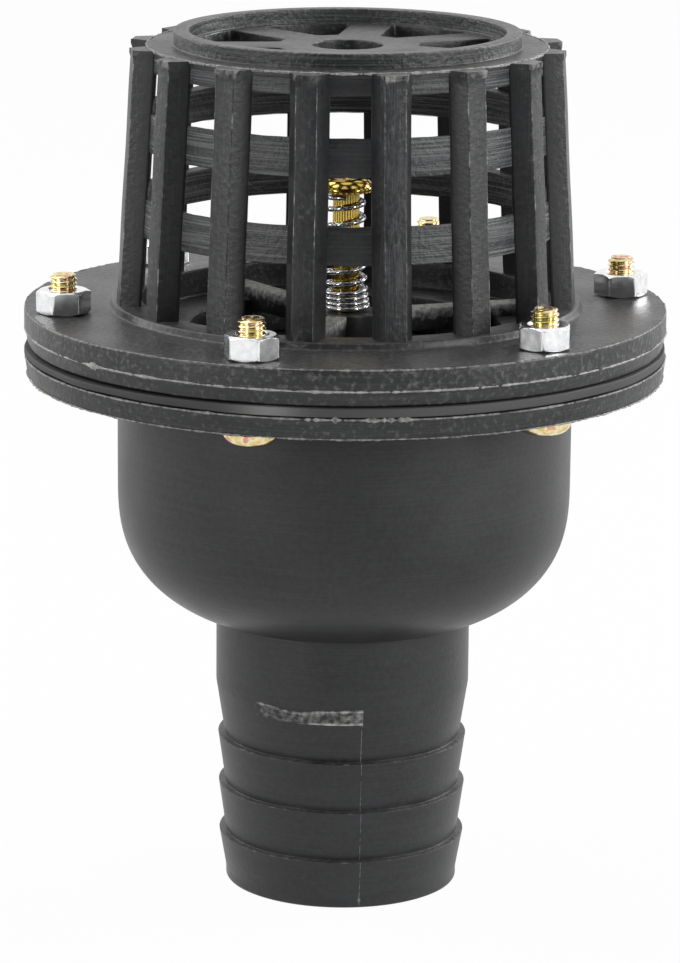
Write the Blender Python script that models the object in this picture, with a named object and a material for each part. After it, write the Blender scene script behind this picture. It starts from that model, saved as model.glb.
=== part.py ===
"""Plastic foot valve for a 50 mm suction hose, standing on its hose tail with the strainer on top.

Units are metres and +Z is up. The origin is the centre of the hose tail's end face.
Angles are measured round the axis from the front, which is -Y, towards +X.
"""

import math

import bmesh
import bpy
from mathutils import Matrix, Vector

# Clearances between pieces
SEAT_GAP = 0.0003
HOLE_CLEARANCE = 0.0003
THREAD_CLEARANCE = 0.0002

# Hose tail
HOSE_RADIUS = 0.0250
TAIL_WALL = 0.0040
BARB_COUNT = 3
BARB_PITCH = 0.0109
FIRST_BARB_LENGTH = 0.0107
BARB_RISE = 0.0015
BARB_STEP = 0.0007
TAIL_STRAIGHT_LENGTH = 0.0022
TAIL_DRAFT = 0.00015
LAST_RAMP_LENGTH = 0.0104
COLLAR_RISE = 0.00225
COLLAR_LENGTH = 0.0158
TAIL_END_CHAMFER = 0.0004

# Bowl and its flange
BOWL_RADIUS = 0.0484
BOWL_WALL = 0.0034
BOWL_CURVE_HEIGHT = 0.0301
BOWL_CURVE_RADIAL_POWER = 1.354
BOWL_CURVE_HEIGHT_POWER = 2.934
BOWL_SIDE_HEIGHT = 0.0227
FLANGE_WIDTH = 0.0196
BODY_FLANGE_THICKNESS = 0.0043
BODY_FLANGE_DRAFT = 0.0005
FLANGE_FILLET = 0.0012

# Gasket
GASKET_THICKNESS = 0.0019
GASKET_OVERHANG = 0.0003
GASKET_LAND = 0.0010

# Strainer basket
BASKET_FLANGE_THICKNESS = 0.0076
BASKET_FLANGE_UNDERCUT = 0.0007
FLASH_LINE_HEIGHT = 0.0031
SILL_OVERHANG = 0.0012
SILL_HEIGHT = 0.0016
SILL_DEPTH = 0.0063
FLOOR_THICKNESS = 0.0033
RIB_COUNT = 16
RIB_PHASE = 12.2
RIB_SETBACK = 0.0007
RIB_LEAN = 0.0032
RIB_FACE_WIDTH = 0.0043
RIB_ROOT_WIDTH = 0.0082
RIB_WEDGE_DEPTH = 0.0038
RIB_EMBED = 0.0005
BAND_THICKNESS = 0.0022
BAND_DRAFT = 0.0006
BAND_HEIGHT = 0.0081
WINDOW_HEIGHTS = (0.01465, 0.0098, 0.0084)
RIM_HEIGHT = 0.00465
LID_EDGE_THICKNESS = 0.0012
LID_THICKNESS = 0.0026
LID_TAB_LIP = 0.00025
LID_RING_SETBACK = 0.0057
LID_RING_WIDTH = 0.0032
LID_RING_HEIGHT = 0.0031
LID_HOLE_RADIUS = 0.0074
LID_WINDOW_COUNT = 7
LID_SPOKE_WIDTH = 0.0092
LID_SPOKE_PHASE = 170.6
LID_HUB_RADIUS = 0.0150
LID_WINDOW_MARGIN = 0.0008

# Valve seat and bridge
FLOW_GAP = 0.0065
DISC_OVERHANG = 0.0005
PAD_OVERLAP = 0.0020
SEAT_LIP_WALL = 0.0030
SEAT_LIP_DEPTH = 0.0045
BRIDGE_ARM_WIDTH = 0.0044
BRIDGE_ARM_DEPTH = 0.0050
BRIDGE_ARM_ANGLES = (109.0, 215.0, 344.0)
BRIDGE_RISE = 0.0029
HUB_LIP = 0.0001
HUB_DEPTH = 0.0052
HUB_SHOULDER = 0.0015

# Valve disc and its stem
PAD_THICKNESS = 0.0025
DISC_THICKNESS = 0.0030
DISC_BOSS_RADIUS = 0.0090
DISC_BOSS_HEIGHT = 0.0014
DISC_RIM_WIDTH = 0.0040
DISC_RIM_HEIGHT = 0.0012
RETAINER_RADIUS = 0.0160
RETAINER_THICKNESS = 0.0012
RETAINER_DISH = 0.0008
STEM_RADIUS = 0.0029
STEM_TAIL = 0.0045
THIN_NUT_HEIGHT = 0.0032
WASHER_RADIUS = 0.0060
WASHER_THICKNESS = 0.0016

# Return spring
SPRING_WIRE = 0.0011
SPRING_LENGTH = 0.0251
SPRING_STEM_GAP = 0.0005
SPRING_FLARE = 0.0010
SPRING_CLOSED_TURNS = 3.0
SPRING_OPEN_TURNS = 5.0
SPRING_TOP_TURNS = 1.0
SPRING_CLOSED_PITCH = 0.0014

# Flange screws and nuts, M6
BOLT_COUNT = 6
BOLT_PHASE = -78.0
BOLT_EDGE_DISTANCE = 0.0076
BOLT_RADIUS = 0.0029
BOLT_HEAD_RADIUS = 0.0058
BOLT_HEAD_HEIGHT = 0.0030
BOLT_TAIL = 0.0030
BOLT_POINT = 0.0005
NUT_ACROSS_FLATS = 0.0100
NUT_HEIGHT = 0.0050
NUT_CHAMFER = 0.0006
NUT_CORNER_ANGLES = (39.3, 13.2, 56.4, 31.5, 8.0, 20.0)

# Facets of the round pieces
BODY_SEGMENTS = 44
BASKET_SEGMENTS = 48
DISC_SEGMENTS = 40
STEM_SEGMENTS = 20
BOLT_SEGMENTS = 14
NUT_SEGMENTS = 12
HOLE_SEGMENTS = 12
WIRE_SIDES = 6
WIRE_STEPS_PER_TURN = 10
SMOOTH_ANGLE = math.radians(32.0)

# Radii that follow from the sizes above
BORE_RADIUS = HOSE_RADIUS - TAIL_WALL
COLLAR_RADIUS = HOSE_RADIUS + COLLAR_RISE
BOWL_INNER_RADIUS = BOWL_RADIUS - BOWL_WALL
FLANGE_RADIUS = BOWL_RADIUS + FLANGE_WIDTH
BOLT_CIRCLE_RADIUS = FLANGE_RADIUS - BOLT_EDGE_DISTANCE
SILL_RADIUS = BOWL_RADIUS + SILL_OVERHANG
FLOOR_RADIUS = SILL_RADIUS - SILL_DEPTH
RIB_BASE_RADIUS = SILL_RADIUS - RIB_SETBACK
DISC_RADIUS = BOWL_INNER_RADIUS - FLOW_GAP
PAD_RADIUS = DISC_RADIUS - DISC_OVERHANG
SEAT_OUTER_RADIUS = PAD_RADIUS - PAD_OVERLAP
SEAT_INNER_RADIUS = SEAT_OUTER_RADIUS - SEAT_LIP_WALL
STEM_HOLE_RADIUS = STEM_RADIUS + HOLE_CLEARANCE
BOLT_HOLE_RADIUS = BOLT_RADIUS + HOLE_CLEARANCE
SPRING_TOP_RADIUS = STEM_RADIUS + SPRING_STEM_GAP + SPRING_WIRE / 2
SPRING_BOTTOM_RADIUS = SPRING_TOP_RADIUS + SPRING_FLARE
HUB_RADIUS = SPRING_BOTTOM_RADIUS + SPRING_WIRE / 2 + HUB_SHOULDER

# Heights of the fixed pieces, from the hose end up
COLLAR_BASE_Z = FIRST_BARB_LENGTH + (BARB_COUNT - 1) * BARB_PITCH + BARB_STEP + LAST_RAMP_LENGTH
BOWL_BASE_Z = COLLAR_BASE_Z + COLLAR_LENGTH
BOWL_SIDE_Z = BOWL_BASE_Z + BOWL_CURVE_HEIGHT
BODY_FLANGE_Z = BOWL_SIDE_Z + BOWL_SIDE_HEIGHT
BODY_TOP_Z = BODY_FLANGE_Z + BODY_FLANGE_THICKNESS
GASKET_Z = BODY_TOP_Z + SEAT_GAP
BASKET_Z = GASKET_Z + GASKET_THICKNESS + SEAT_GAP
BASKET_FLANGE_TOP_Z = BASKET_Z + BASKET_FLANGE_THICKNESS
SILL_Z = BASKET_FLANGE_TOP_Z + SILL_HEIGHT
FLOOR_Z = BASKET_Z + FLOOR_THICKNESS
BAND_BASE_Z = (
    SILL_Z + WINDOW_HEIGHTS[0],
    SILL_Z + WINDOW_HEIGHTS[0] + BAND_HEIGHT + WINDOW_HEIGHTS[1],
)
RIM_Z = SILL_Z + sum(WINDOW_HEIGHTS) + 2 * BAND_HEIGHT
LID_Z = RIM_Z + RIM_HEIGHT
RING_TOP_Z = LID_Z + LID_RING_HEIGHT
SEAT_Z = BASKET_Z - SEAT_LIP_DEPTH
HUB_TOP_Z = FLOOR_Z + BRIDGE_RISE

# Heights of the moving stack, with the valve shut
PAD_TOP_Z = SEAT_Z - SEAT_GAP
DISC_TOP_Z = PAD_TOP_Z - PAD_THICKNESS - SEAT_GAP
DISC_BOTTOM_Z = DISC_TOP_Z - DISC_THICKNESS
WASHER_TOP_Z = DISC_BOTTOM_Z - DISC_BOSS_HEIGHT - SEAT_GAP
STEM_NUT_Z = WASHER_TOP_Z - WASHER_THICKNESS - SEAT_GAP - NUT_HEIGHT
RETAINER_Z = PAD_TOP_Z + SEAT_GAP
THIN_NUT_Z = RETAINER_Z + RETAINER_THICKNESS + SEAT_GAP
SPRING_Z = HUB_TOP_Z + SEAT_GAP
STEM_HEAD_Z = SPRING_Z + SPRING_LENGTH + SEAT_GAP
STEM_END_Z = STEM_NUT_Z - STEM_TAIL


def clear_scene():
    """Remove what the file opened with."""
    for item in list(bpy.data.objects):
        bpy.data.objects.remove(item, do_unlink=True)


def make_material(name, colour, roughness, metallic):
    """Make a Principled material from a linear colour."""
    made = bpy.data.materials.new(name)
    made.use_nodes = True
    shader = made.node_tree.nodes["Principled BSDF"]
    shader.inputs["Base Color"].default_value = (*colour, 1.0)
    shader.inputs["Roughness"].default_value = roughness
    shader.inputs["Metallic"].default_value = metallic
    made.diffuse_color = (*colour, 1.0)
    return made


def polar(radius, angle, height=0.0):
    """Point at a radius and an angle in degrees from the front towards +X."""
    turn = math.radians(angle)
    return Vector((radius * math.sin(turn), -radius * math.cos(turn), height))


def add_object(name, shape, material=None):
    """Link a bmesh to the scene as an object, with its faces turned outwards."""
    bmesh.ops.remove_doubles(shape, verts=shape.verts, dist=1e-7)
    bmesh.ops.recalc_face_normals(shape, faces=shape.faces)
    mesh = bpy.data.meshes.new(name)
    shape.to_mesh(mesh)
    shape.free()
    if material is not None:
        mesh.materials.append(material)
    made = bpy.data.objects.new(name, mesh)
    bpy.context.scene.collection.objects.link(made)
    return made


def combine(target, tool, operation):
    """Apply one exact Boolean to the target and use the tool up."""
    step = target.modifiers.new(operation.title(), "BOOLEAN")
    step.operation = operation
    step.solver = "EXACT"
    step.object = tool
    evaluated = target.evaluated_get(bpy.context.evaluated_depsgraph_get())
    result = bpy.data.meshes.new_from_object(evaluated)
    target.modifiers.clear()
    before = target.data
    target.data = result
    bpy.data.meshes.remove(before)
    bpy.data.objects.remove(tool, do_unlink=True)


def shade(target):
    """Shade round faces smooth and keep real edges sharp."""
    target.data.shade_smooth()
    target.data.set_sharp_from_angle(angle=SMOOTH_ANGLE)


def turned(profile, segments):
    """Turn a closed profile of (radius, height) points once round the axis."""
    shape = bmesh.new()
    corners = [shape.verts.new((radius, 0.0, height)) for radius, height in profile]
    edges = [shape.edges.new((corners[i - 1], corners[i])) for i in range(len(corners))]
    bmesh.ops.spin(
        shape,
        geom=corners + edges,
        cent=(0.0, 0.0, 0.0),
        axis=(0.0, 0.0, 1.0),
        angle=2.0 * math.pi,
        steps=segments,
        use_merge=True,
    )
    bmesh.ops.remove_doubles(shape, verts=shape.verts, dist=1e-7)
    bmesh.ops.dissolve_degenerate(shape, edges=shape.edges, dist=1e-7)
    return shape


def add_prism(shape, outline, base, top):
    """Add a flat-ended prism with an outline of (x, y) points."""
    floor = [shape.verts.new((x, y, base)) for x, y in outline]
    face = shape.faces.new(floor)
    raised = bmesh.ops.extrude_face_region(shape, geom=[face])
    moved = [item for item in raised["geom"] if isinstance(item, bmesh.types.BMVert)]
    bmesh.ops.translate(shape, verts=moved, vec=(0.0, 0.0, top - base))


def add_cylinder(shape, radius, base, top, centre, segments):
    """Add a plain cylinder that stands at a centre."""
    step = 360.0 / segments
    ring = [centre + polar(radius, step * i) for i in range(segments)]
    add_prism(shape, [(point.x, point.y) for point in ring], base, top)


def barb_outline():
    """Outer outline of the hose tail: ramps that widen to a sharp lip and step back in."""
    points = [
        (HOSE_RADIUS - TAIL_END_CHAMFER, 0.0),
        (HOSE_RADIUS, TAIL_END_CHAMFER),
        (HOSE_RADIUS, TAIL_STRAIGHT_LENGTH),
    ]
    for index in range(BARB_COUNT):
        lip_z = FIRST_BARB_LENGTH + BARB_PITCH * index
        root = HOSE_RADIUS + TAIL_DRAFT * index
        points.append((root + BARB_RISE * 0.97, lip_z - BARB_STEP * 0.4))
        points.append((root + BARB_RISE, lip_z))
        points.append((root + TAIL_DRAFT, lip_z + BARB_STEP))
    root = HOSE_RADIUS + TAIL_DRAFT * BARB_COUNT
    for along, out in ((0.4, 0.60), (0.75, 0.92)):
        points.append((root + (COLLAR_RADIUS - root) * out, COLLAR_BASE_Z - LAST_RAMP_LENGTH * (1.0 - along)))
    points.append((COLLAR_RADIUS, COLLAR_BASE_Z))
    return points


def bowl_curve(inner, outer, base, top, steps):
    """Bowl shoulder from the narrow neck to the wide side, a superellipse quarter."""
    points = []
    for index in range(steps + 1):
        turn = math.pi / 2 * (1.0 - index / steps)
        out = max(math.cos(turn), 0.0) ** (2.0 / BOWL_CURVE_RADIAL_POWER)
        down = max(math.sin(turn), 0.0) ** (2.0 / BOWL_CURVE_HEIGHT_POWER)
        points.append((inner + (outer - inner) * out, top - (top - base) * down))
    return points


def bolt_angles():
    """Angles of the flange screws round the axis."""
    return [BOLT_PHASE + 360.0 / BOLT_COUNT * index for index in range(BOLT_COUNT)]


def drill_flange(target, base, top):
    """Cut the flange screws' clearance holes."""
    shape = bmesh.new()
    for angle in bolt_angles():
        add_cylinder(shape, BOLT_HOLE_RADIUS, base, top, polar(BOLT_CIRCLE_RADIUS, angle), HOLE_SEGMENTS)
    combine(target, add_object("flange_drill", shape), "DIFFERENCE")


def make_valve_body(material):
    """Hose tail, bowl and lower flange, moulded in one."""
    profile = barb_outline()
    profile += bowl_curve(COLLAR_RADIUS, BOWL_RADIUS, BOWL_BASE_Z, BOWL_SIDE_Z, 8)
    profile += [
        (BOWL_RADIUS, BODY_FLANGE_Z - FLANGE_FILLET),
        (BOWL_RADIUS + FLANGE_FILLET, BODY_FLANGE_Z),
        (FLANGE_RADIUS - BODY_FLANGE_DRAFT, BODY_FLANGE_Z),
        (FLANGE_RADIUS, BODY_TOP_Z - BODY_FLANGE_DRAFT),
        (FLANGE_RADIUS, BODY_TOP_Z),
        (BOWL_INNER_RADIUS, BODY_TOP_Z),
    ]
    inside = bowl_curve(BORE_RADIUS, BOWL_INNER_RADIUS, BOWL_BASE_Z + BOWL_WALL, BOWL_SIDE_Z, 5)
    profile += reversed(inside)
    profile += [(BORE_RADIUS, 0.0)]
    body = add_object("valve_body", turned(profile, BODY_SEGMENTS), material)
    drill_flange(body, BODY_FLANGE_Z - FLANGE_WIDTH, BODY_TOP_Z + FLANGE_WIDTH)
    shade(body)


def make_gasket(material):
    """Flat rubber ring between the two flanges."""
    outer = FLANGE_RADIUS + GASKET_OVERHANG
    inner = BOWL_INNER_RADIUS + GASKET_LAND
    top = GASKET_Z + GASKET_THICKNESS
    profile = [(inner, GASKET_Z), (outer, GASKET_Z), (outer, top), (inner, top)]
    gasket = add_object("flange_gasket", turned(profile, BODY_SEGMENTS), material)
    drill_flange(gasket, GASKET_Z - FLANGE_WIDTH, top + FLANGE_WIDTH)
    shade(gasket)


def rib_angles():
    """Angles of the basket ribs round the axis."""
    return [RIB_PHASE + 360.0 / RIB_COUNT * index for index in range(RIB_COUNT)]


def rib_radius(height):
    """Radius of the ribs' outer faces at a height: the basket narrows towards its lid."""
    rise = (height - SILL_Z) / (LID_Z - SILL_Z)
    return RIB_BASE_RADIUS - RIB_LEAN * rise


def rib_section(height, angle):
    """Wedge section of one rib: a narrow outer face that widens to its foot in the bands."""
    outer = rib_radius(height)
    root = outer - RIB_WEDGE_DEPTH
    inner = root - RIB_EMBED
    half_face = RIB_FACE_WIDTH / 2
    half_root = RIB_ROOT_WIDTH / 2
    corners = (
        (-half_face, outer),
        (half_face, outer),
        (half_root, root),
        (half_root, inner),
        (-half_root, inner),
        (-half_root, root),
    )
    turn = Matrix.Rotation(math.radians(angle), 3, "Z")
    return [turn @ Vector((across, -out, height)) for across, out in corners]


def add_rib(shape, angle):
    """Loft one rib from the basket floor up into the lid."""
    low = [shape.verts.new(point) for point in rib_section(BASKET_Z + FLOOR_THICKNESS * 0.6, angle)]
    high = [shape.verts.new(point) for point in rib_section(LID_Z - LID_EDGE_THICKNESS / 2, angle)]
    shape.faces.new(low)
    shape.faces.new(high)
    for index in range(len(low)):
        shape.faces.new((low[index - 1], low[index], high[index], high[index - 1]))


def make_ribs():
    """All the ribs, as separate wedges that the other parts of the basket join."""
    shape = bmesh.new()
    for angle in rib_angles():
        add_rib(shape, angle)
    return add_object("basket_ribs", shape)


def band_profile(base, top):
    """Section of a band between the ribs, leaning with them and drafted towards the inside."""
    outer_low = rib_radius(base) - RIB_WEDGE_DEPTH
    outer_high = rib_radius(top) - RIB_WEDGE_DEPTH
    return [
        (outer_low, base),
        (outer_high, top),
        (outer_high - BAND_THICKNESS, top - BAND_DRAFT),
        (outer_low - BAND_THICKNESS, base + BAND_DRAFT),
    ]


def make_lid_plate():
    """Top plate: a circle as wide as the rim, with a wedge tab over each rib."""
    tab_radius = rib_radius(LID_Z) + LID_TAB_LIP
    plate_radius = rib_radius(LID_Z) - RIB_WEDGE_DEPTH + LID_TAB_LIP
    tab_half = math.degrees((RIB_FACE_WIDTH / 2 + LID_TAB_LIP) / tab_radius)
    root_half = math.degrees((RIB_ROOT_WIDTH / 2 + LID_TAB_LIP) / plate_radius)
    gap = 360.0 / RIB_COUNT - 2 * root_half
    outline = []
    for angle in rib_angles():
        places = ((plate_radius, -root_half), (tab_radius, -tab_half), (tab_radius, tab_half), (plate_radius, root_half))
        outline += [tuple(polar(radius, angle + place).to_2d()) for radius, place in places]
        outline.append(tuple(polar(plate_radius, angle + root_half + gap / 2).to_2d()))
    shape = bmesh.new()
    add_prism(shape, outline, LID_Z - LID_EDGE_THICKNESS, LID_Z)
    return add_object("lid_plate", shape)


def window_outline(middle, inner, outer):
    """Lid window between two straight spokes, closed by an inner and an outer arc."""
    half_pitch = 180.0 / LID_WINDOW_COUNT
    half_spoke = LID_SPOKE_WIDTH / 2
    points = []
    for radius, steps, way in ((inner, 2, 1), (outer, 6, -1)):
        half = half_pitch - math.degrees(math.asin(half_spoke / radius))
        for index in range(steps + 1):
            place = middle + way * half * (2.0 * index / steps - 1.0)
            points.append(tuple(polar(radius, place).to_2d()))
    return points


def make_lid():
    """Lid of the basket: rim, raised ring and a wheel of spokes round a centre hole."""
    rim_outer = rib_radius(RIM_Z) - RIB_WEDGE_DEPTH
    rim_top = rib_radius(LID_Z) - RIB_WEDGE_DEPTH
    rim_inner = rim_outer - BAND_THICKNESS
    ring_outer = rim_outer - LID_RING_SETBACK
    ring_inner = ring_outer - LID_RING_WIDTH
    under = LID_Z - LID_THICKNESS
    inside_plate = LID_Z - LID_EDGE_THICKNESS / 2
    profile = [
        (0.0, under),
        (rim_inner, under),
        (rim_inner, RIM_Z + BAND_DRAFT),
        (rim_outer, RIM_Z),
        (rim_top, inside_plate),
        (ring_outer, inside_plate),
        (ring_outer, RING_TOP_Z),
        (ring_inner, RING_TOP_Z),
        (ring_inner, inside_plate),
        (0.0, inside_plate),
    ]
    lid = add_object("lid", turned(profile, BASKET_SEGMENTS))
    combine(lid, make_lid_plate(), "UNION")
    cut = bmesh.new()
    low = RIM_Z - LID_THICKNESS
    high = RING_TOP_Z + LID_THICKNESS
    add_cylinder(cut, LID_HOLE_RADIUS, low, high, Vector((0.0, 0.0, 0.0)), 24)
    for index in range(LID_WINDOW_COUNT):
        middle = LID_SPOKE_PHASE + 360.0 / LID_WINDOW_COUNT * (index + 0.5)
        outline = window_outline(middle, LID_HUB_RADIUS, ring_inner - LID_WINDOW_MARGIN)
        add_prism(cut, outline, low, high)
    combine(lid, add_object("lid_cuts", cut), "DIFFERENCE")
    return lid


def make_bridge():
    """Hub in the middle of the seat, carried by three arms from the basket floor."""
    hub = bmesh.new()
    add_cylinder(hub, HUB_RADIUS, HUB_TOP_Z - HUB_DEPTH, HUB_TOP_Z, Vector((0.0, 0.0, 0.0)), STEM_SEGMENTS)
    bridge = add_object("bridge", hub)
    arms = bmesh.new()
    arm_top = HUB_TOP_Z - HUB_LIP
    start = (STEM_HOLE_RADIUS + HUB_RADIUS) / 2 + BRIDGE_ARM_WIDTH / 4
    end = FLOOR_RADIUS + SILL_DEPTH / 8
    for angle in BRIDGE_ARM_ANGLES:
        along = polar(1.0, angle)
        across = polar(BRIDGE_ARM_WIDTH / 2, angle + 90.0)
        corners = (along * start - across, along * end - across, along * end + across, along * start + across)
        add_prism(arms, [(point.x, point.y) for point in corners], arm_top - BRIDGE_ARM_DEPTH, arm_top)
    combine(bridge, add_object("bridge_arms", arms), "UNION")
    return bridge


def make_basket(material):
    """Strainer basket: flange with the valve seat, ribs, bands, lid and bridge in one moulding."""
    profile = [
        (FLANGE_RADIUS - BASKET_FLANGE_UNDERCUT, BASKET_Z),
        (FLANGE_RADIUS, BASKET_Z + FLASH_LINE_HEIGHT),
        (FLANGE_RADIUS, BASKET_FLANGE_TOP_Z),
        (SILL_RADIUS + RIB_SETBACK / 2, BASKET_FLANGE_TOP_Z),
        (SILL_RADIUS, SILL_Z),
        (FLOOR_RADIUS, SILL_Z),
        (FLOOR_RADIUS, FLOOR_Z),
        (SEAT_INNER_RADIUS, FLOOR_Z),
        (SEAT_INNER_RADIUS, SEAT_Z),
        (SEAT_OUTER_RADIUS, SEAT_Z),
        (SEAT_OUTER_RADIUS + SEAT_LIP_WALL / 4, BASKET_Z),
    ]
    basket = add_object("strainer_basket", turned(profile, BASKET_SEGMENTS), material)
    combine(basket, make_ribs(), "UNION")
    for base in BAND_BASE_Z:
        band = add_object("band", turned(band_profile(base, base + BAND_HEIGHT), BASKET_SEGMENTS))
        combine(basket, band, "UNION")
    combine(basket, make_lid(), "UNION")
    combine(basket, make_bridge(), "UNION")
    hole = bmesh.new()
    low = SEAT_Z - HUB_DEPTH
    high = HUB_TOP_Z + HUB_DEPTH
    add_cylinder(hole, STEM_HOLE_RADIUS, low, high, Vector((0.0, 0.0, 0.0)), STEM_SEGMENTS)
    combine(basket, add_object("stem_hole", hole), "DIFFERENCE")
    drill_flange(basket, BASKET_Z - FLANGE_WIDTH, BASKET_FLANGE_TOP_Z + FLANGE_WIDTH)
    shade(basket)


def pan_head_profile(radius, base, height, way):
    """Half outline of a pan head from its flat seat round to its crown on the axis."""
    rounding = ((1.0, 0.0), (1.0, 0.30), (0.93, 0.62), (0.78, 0.86), (0.52, 0.98), (0.0, 1.0))
    return [(radius * out, base + way * height * up) for out, up in rounding]


def add_screw(name, material, radius, head_z, end_z, segments):
    """Pan head screw: the head's seat is at head_z and the shank runs to end_z."""
    way = 1.0 if head_z > end_z else -1.0
    tip = [
        (0.0, end_z),
        (radius - BOLT_POINT, end_z),
        (radius, end_z + way * BOLT_POINT),
        (radius, head_z),
    ]
    profile = tip + pan_head_profile(BOLT_HEAD_RADIUS, head_z, BOLT_HEAD_HEIGHT, way)
    screw = add_object(name, turned(profile, segments), material)
    shade(screw)
    return screw


def nut_mesh(name, height, material):
    """Hexagon nut with its corners chamfered at both ends and a clear bore."""
    corner = NUT_ACROSS_FLATS / math.sqrt(3.0)
    shape = bmesh.new()
    add_cylinder(shape, corner, 0.0, height, Vector((0.0, 0.0, 0.0)), 6)
    nut = add_object(name, shape, material)
    wide = corner + NUT_CHAMFER
    narrow = NUT_ACROSS_FLATS / 2
    rise = (wide - narrow) * math.tan(math.radians(30.0))
    bore = BOLT_RADIUS + THREAD_CLEARANCE
    profile = [
        (bore, -NUT_CHAMFER),
        (narrow - NUT_CHAMFER, -NUT_CHAMFER),
        (narrow, 0.0),
        (wide, rise),
        (wide, height - rise),
        (narrow, height),
        (narrow - NUT_CHAMFER, height + NUT_CHAMFER),
        (bore, height + NUT_CHAMFER),
    ]
    combine(nut, add_object("nut_turning", turned(profile, NUT_SEGMENTS)), "INTERSECT")
    shade(nut)
    return nut


def make_flange_fasteners(screw_material, nut_material):
    """Screws from below the lower flange, and nuts on top of the upper one."""
    head_z = BODY_FLANGE_Z - SEAT_GAP
    nut_z = BASKET_FLANGE_TOP_Z + SEAT_GAP
    end_z = nut_z + NUT_HEIGHT + BOLT_TAIL
    screw = add_screw("flange_screw_1", screw_material, BOLT_RADIUS, head_z, end_z, BOLT_SEGMENTS)
    nut = nut_mesh("flange_nut_1", NUT_HEIGHT, nut_material)
    for index, angle in enumerate(bolt_angles()):
        place = polar(BOLT_CIRCLE_RADIUS, angle)
        if index > 0:
            screw = bpy.data.objects.new("flange_screw_%d" % (index + 1), screw.data)
            nut = bpy.data.objects.new("flange_nut_%d" % (index + 1), nut.data)
            bpy.context.scene.collection.objects.link(screw)
            bpy.context.scene.collection.objects.link(nut)
        screw.location = place
        nut.location = place + Vector((0.0, 0.0, nut_z))
        corner_angle = NUT_CORNER_ANGLES[index % len(NUT_CORNER_ANGLES)]
        nut.rotation_euler = (0.0, 0.0, math.radians(corner_angle))


def make_disc(material):
    """Valve disc with a stiffening rim and a boss round the stem underneath."""
    hole = STEM_HOLE_RADIUS
    rim_inner = DISC_RADIUS - DISC_RIM_WIDTH
    profile = [
        (hole, DISC_TOP_Z),
        (hole, DISC_BOTTOM_Z - DISC_BOSS_HEIGHT),
        (DISC_BOSS_RADIUS, DISC_BOTTOM_Z - DISC_BOSS_HEIGHT),
        (DISC_BOSS_RADIUS + DISC_BOSS_HEIGHT / 2, DISC_BOTTOM_Z),
        (rim_inner, DISC_BOTTOM_Z),
        (rim_inner + DISC_RIM_HEIGHT / 2, DISC_BOTTOM_Z - DISC_RIM_HEIGHT),
        (DISC_RADIUS - DISC_RIM_HEIGHT / 2, DISC_BOTTOM_Z - DISC_RIM_HEIGHT),
        (DISC_RADIUS, DISC_BOTTOM_Z),
        (DISC_RADIUS, DISC_TOP_Z),
    ]
    disc = add_object("valve_disc", turned(profile, DISC_SEGMENTS), material)
    shade(disc)
    return disc


def make_pad(material):
    """Rubber pad that closes on the seat lip."""
    base = PAD_TOP_Z - PAD_THICKNESS
    hole = STEM_HOLE_RADIUS
    profile = [(hole, base), (PAD_RADIUS, base), (PAD_RADIUS, PAD_TOP_Z), (hole, PAD_TOP_Z)]
    pad = add_object("seal_pad", turned(profile, DISC_SEGMENTS), material)
    shade(pad)
    return pad


def make_retainer(material):
    """Pressed clamp plate that holds the pad down, dished towards its edge."""
    top = RETAINER_Z + RETAINER_THICKNESS
    hole = STEM_HOLE_RADIUS
    edge = RETAINER_RADIUS - RETAINER_THICKNESS
    profile = [
        (hole, RETAINER_Z),
        (RETAINER_RADIUS, RETAINER_Z),
        (RETAINER_RADIUS, top - RETAINER_DISH),
        (edge, top),
        (hole, top),
    ]
    plate = add_object("pad_retainer", turned(profile, DISC_SEGMENTS), material)
    shade(plate)
    return plate


def make_washer(material):
    """Plain washer under the stem nut."""
    base = WASHER_TOP_Z - WASHER_THICKNESS
    hole = STEM_HOLE_RADIUS
    profile = [(hole, base), (WASHER_RADIUS, base), (WASHER_RADIUS, WASHER_TOP_Z), (hole, WASHER_TOP_Z)]
    washer = add_object("stem_washer", turned(profile, STEM_SEGMENTS), material)
    shade(washer)
    return washer


def place_mesh_at(target, height):
    """Stand a finished piece at a height on the axis."""
    target.location = (0.0, 0.0, height)
    return target


def spring_path():
    """Centre line of the spring: close turns at the foot, open above, one close turn on top."""
    turns = SPRING_CLOSED_TURNS + SPRING_OPEN_TURNS + SPRING_TOP_TURNS
    rise = SPRING_LENGTH - SPRING_WIRE
    closed = SPRING_CLOSED_PITCH * (SPRING_CLOSED_TURNS + SPRING_TOP_TURNS)
    open_pitch = (rise - closed) / SPRING_OPEN_TURNS
    steps = round(turns * WIRE_STEPS_PER_TURN)
    points = []
    height = SPRING_Z + SPRING_WIRE / 2
    for index in range(steps + 1):
        turn = index / WIRE_STEPS_PER_TURN
        radius = SPRING_BOTTOM_RADIUS + (SPRING_TOP_RADIUS - SPRING_BOTTOM_RADIUS) * turn / turns
        points.append(polar(radius, 360.0 * turn, height))
        opened = SPRING_CLOSED_TURNS <= turn < SPRING_CLOSED_TURNS + SPRING_OPEN_TURNS
        height += (open_pitch if opened else SPRING_CLOSED_PITCH) / WIRE_STEPS_PER_TURN
    return points


def make_spring(material):
    """Compression spring between the hub and the stem's head."""
    points = spring_path()
    shape = bmesh.new()
    rings = []
    for index, point in enumerate(points):
        outward = Vector((point.x, point.y, 0.0)).normalized()
        ring = []
        for side in range(WIRE_SIDES):
            turn = 2.0 * math.pi * side / WIRE_SIDES
            offset = outward * math.cos(turn) + Vector((0.0, 0.0, math.sin(turn)))
            ring.append(shape.verts.new(point + offset * SPRING_WIRE / 2))
        rings.append(ring)
    for low, high in zip(rings, rings[1:]):
        for side in range(WIRE_SIDES):
            shape.faces.new((low[side - 1], low[side], high[side], high[side - 1]))
    shape.faces.new(rings[0])
    shape.faces.new(rings[-1])
    spring = add_object("return_spring", shape, material)
    shade(spring)


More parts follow.
